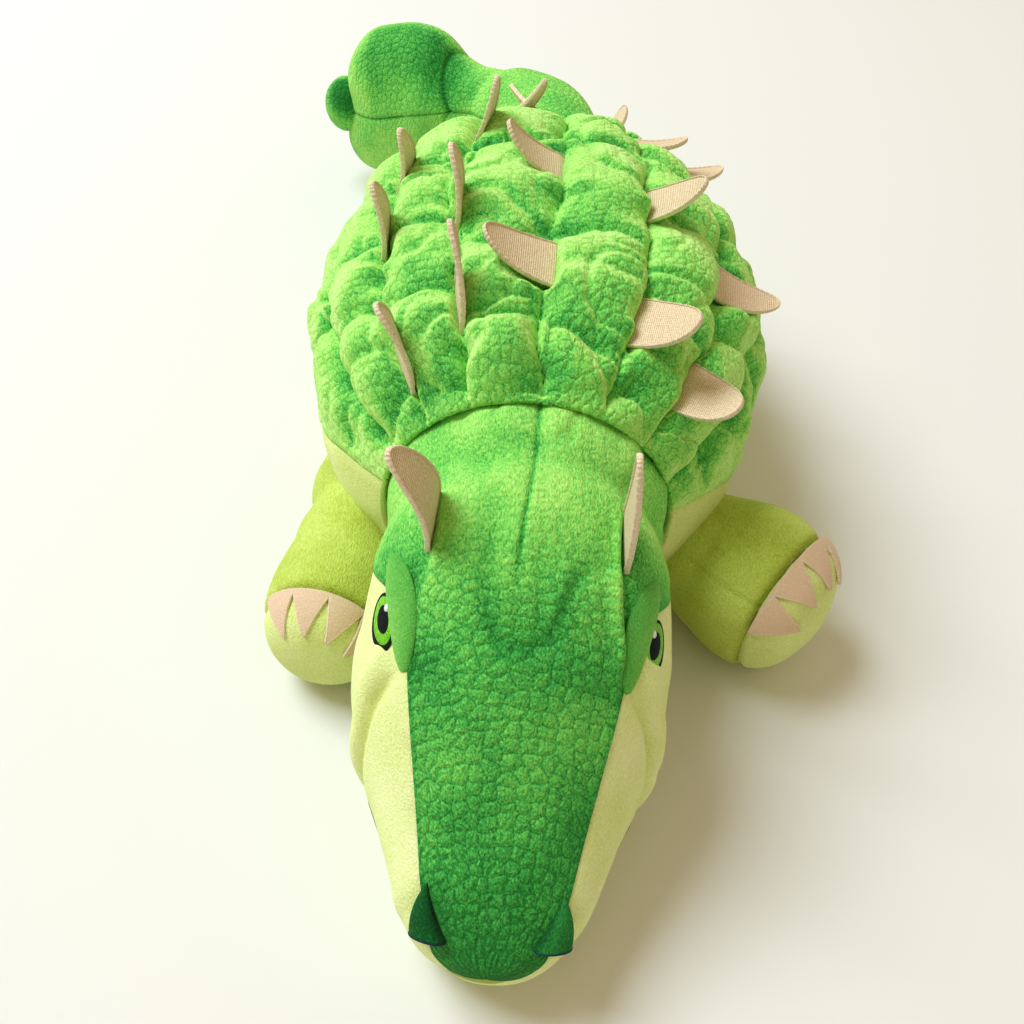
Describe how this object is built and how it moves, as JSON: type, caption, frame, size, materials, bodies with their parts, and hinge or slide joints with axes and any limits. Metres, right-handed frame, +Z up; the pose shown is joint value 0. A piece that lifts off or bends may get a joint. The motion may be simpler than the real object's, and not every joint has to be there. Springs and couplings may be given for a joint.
{
  "type": "plush ankylosaurus",
  "caption": "Stuffed plush armoured dinosaur lying on its belly: gathered back with cloth spikes, head that turns and nods, swinging legs and a flexing club tail.",
  "frame": {"origin": "middle of the flat patch of the belly on which the toy lies", "axes": "+Z up, the nose towards -Y, the tail towards +Y, the toy's own left side at +X"},
  "size_m": [0.2851, 0.5488, 0.1791],
  "materials": {
    "green_embossed_plush": "short green plush, embossed with rounded scales",
    "pale_lime_plush": "smooth pale lime plush",
    "lime_plush": "smooth lime plush with a brushed nap",
    "mid_green_plush": "smooth mid green plush",
    "tan_woven_cloth": "ribbed tan woven cloth with an overlocked edge",
    "eye_thread": "satin embroidery thread",
    "white_fibre": "loose white fibre filling"
  },
  "bodies": {
    "torso": {"back_cover": "green_embossed_plush", "belly_cover": "pale_lime_plush", "torso_filling": "white_fibre", "middle_spike_1": "tan_woven_cloth", "middle_spike_2": "tan_woven_cloth", "middle_spike_3": "tan_woven_cloth", "left_inner_spike_1": "tan_woven_cloth", "left_inner_spike_2": "tan_woven_cloth", "left_inner_spike_3": "tan_woven_cloth", "left_inner_spike_4": "tan_woven_cloth", "right_inner_spike_1": "tan_woven_cloth", "right_inner_spike_2": "tan_woven_cloth", "right_inner_spike_3": "tan_woven_cloth", "right_inner_spike_4": "tan_woven_cloth", "left_outer_spike_1": "tan_woven_cloth", "left_outer_spike_2": "tan_woven_cloth", "left_outer_spike_3": "tan_woven_cloth", "right_outer_spike_1": "tan_woven_cloth", "right_outer_spike_2": "tan_woven_cloth", "right_outer_spike_3": "tan_woven_cloth"},
    "neck": {"neck_filling": "white_fibre"},
    "head": {"head_top_cover": "green_embossed_plush", "head_face_cover": "pale_lime_plush", "head_filling": "white_fibre", "left_eye": "eye_thread", "left_eyelid": "mid_green_plush", "left_nostril_flap": "green_embossed_plush", "left_horn": "tan_woven_cloth", "right_eye": "eye_thread", "right_eyelid": "mid_green_plush", "right_nostril_flap": "green_embossed_plush", "right_horn": "tan_woven_cloth"},
    "front_left_leg": {"front_left_leg_cover": "lime_plush", "front_left_sole_cap": "pale_lime_plush", "front_left_claws": "tan_woven_cloth", "front_left_leg_filling": "white_fibre"},
    "front_right_leg": {"front_right_leg_cover": "lime_plush", "front_right_sole_cap": "pale_lime_plush", "front_right_claws": "tan_woven_cloth", "front_right_leg_filling": "white_fibre"},
    "hind_left_leg": {"hind_left_leg_cover": "lime_plush", "hind_left_sole_cap": "pale_lime_plush", "hind_left_claws": "tan_woven_cloth", "hind_left_leg_filling": "white_fibre"},
    "hind_right_leg": {"hind_right_leg_cover": "lime_plush", "hind_right_sole_cap": "pale_lime_plush", "hind_right_claws": "tan_woven_cloth", "hind_right_leg_filling": "white_fibre"},
    "tail_root": {"tail_root_upper_cover": "green_embossed_plush", "tail_root_lower_cover": "green_embossed_plush", "tail_root_filling": "white_fibre"},
    "tail_club": {"tail_club_upper_cover": "green_embossed_plush", "tail_club_lower_cover": "green_embossed_plush", "tail_club_end_lobe": "green_embossed_plush", "tail_club_filling": "white_fibre"}
  },
  "joints": [
    {"name": "head_turn", "type": "hinge", "parent": "torso", "child": "neck", "pos_m": [0, -0.105, 0.075], "axis": [0, 0, 1], "range_deg": [-5, 14], "stiffness_Nm_per_rad": 0.4},
    {"name": "head_nod", "type": "hinge", "parent": "neck", "child": "head", "pos_m": [0, -0.105, 0.075], "axis": [1, 0, 0], "range_deg": [-10, 10], "stiffness_Nm_per_rad": 0.6},
    {"name": "front_left_leg_swing", "type": "hinge", "parent": "torso", "child": "front_left_leg", "pos_m": [0.06504, -0.06528, 0.033], "axis": [0, 0, 1], "range_deg": [-20, 20], "stiffness_Nm_per_rad": 0.25},
    {"name": "front_right_leg_swing", "type": "hinge", "parent": "torso", "child": "front_right_leg", "pos_m": [-0.06504, -0.06528, 0.033], "axis": [0, 0, 1], "range_deg": [-22, 0], "stiffness_Nm_per_rad": 0.25},
    {"name": "hind_left_leg_swing", "type": "hinge", "parent": "torso", "child": "hind_left_leg", "pos_m": [0.05454, 0.0658, 0.033], "axis": [0, 0, 1], "range_deg": [-14, 14], "stiffness_Nm_per_rad": 0.25},
    {"name": "hind_right_leg_swing", "type": "hinge", "parent": "torso", "child": "hind_right_leg", "pos_m": [-0.05454, 0.0658, 0.033], "axis": [0, 0, 1], "range_deg": [-14, 14], "stiffness_Nm_per_rad": 0.25},
    {"name": "tail_sway", "type": "hinge", "parent": "torso", "child": "tail_root", "pos_m": [0, 0.118, 0.086], "axis": [0, 0, 1], "range_deg": [-18, 18], "stiffness_Nm_per_rad": 0.3},
    {"name": "tail_bend", "type": "hinge", "parent": "tail_root", "child": "tail_club", "pos_m": [-0.028, 0.212, 0.084], "axis": [0, 0, 1], "range_deg": [-18, 18], "stiffness_Nm_per_rad": 0.2}
  ]
}
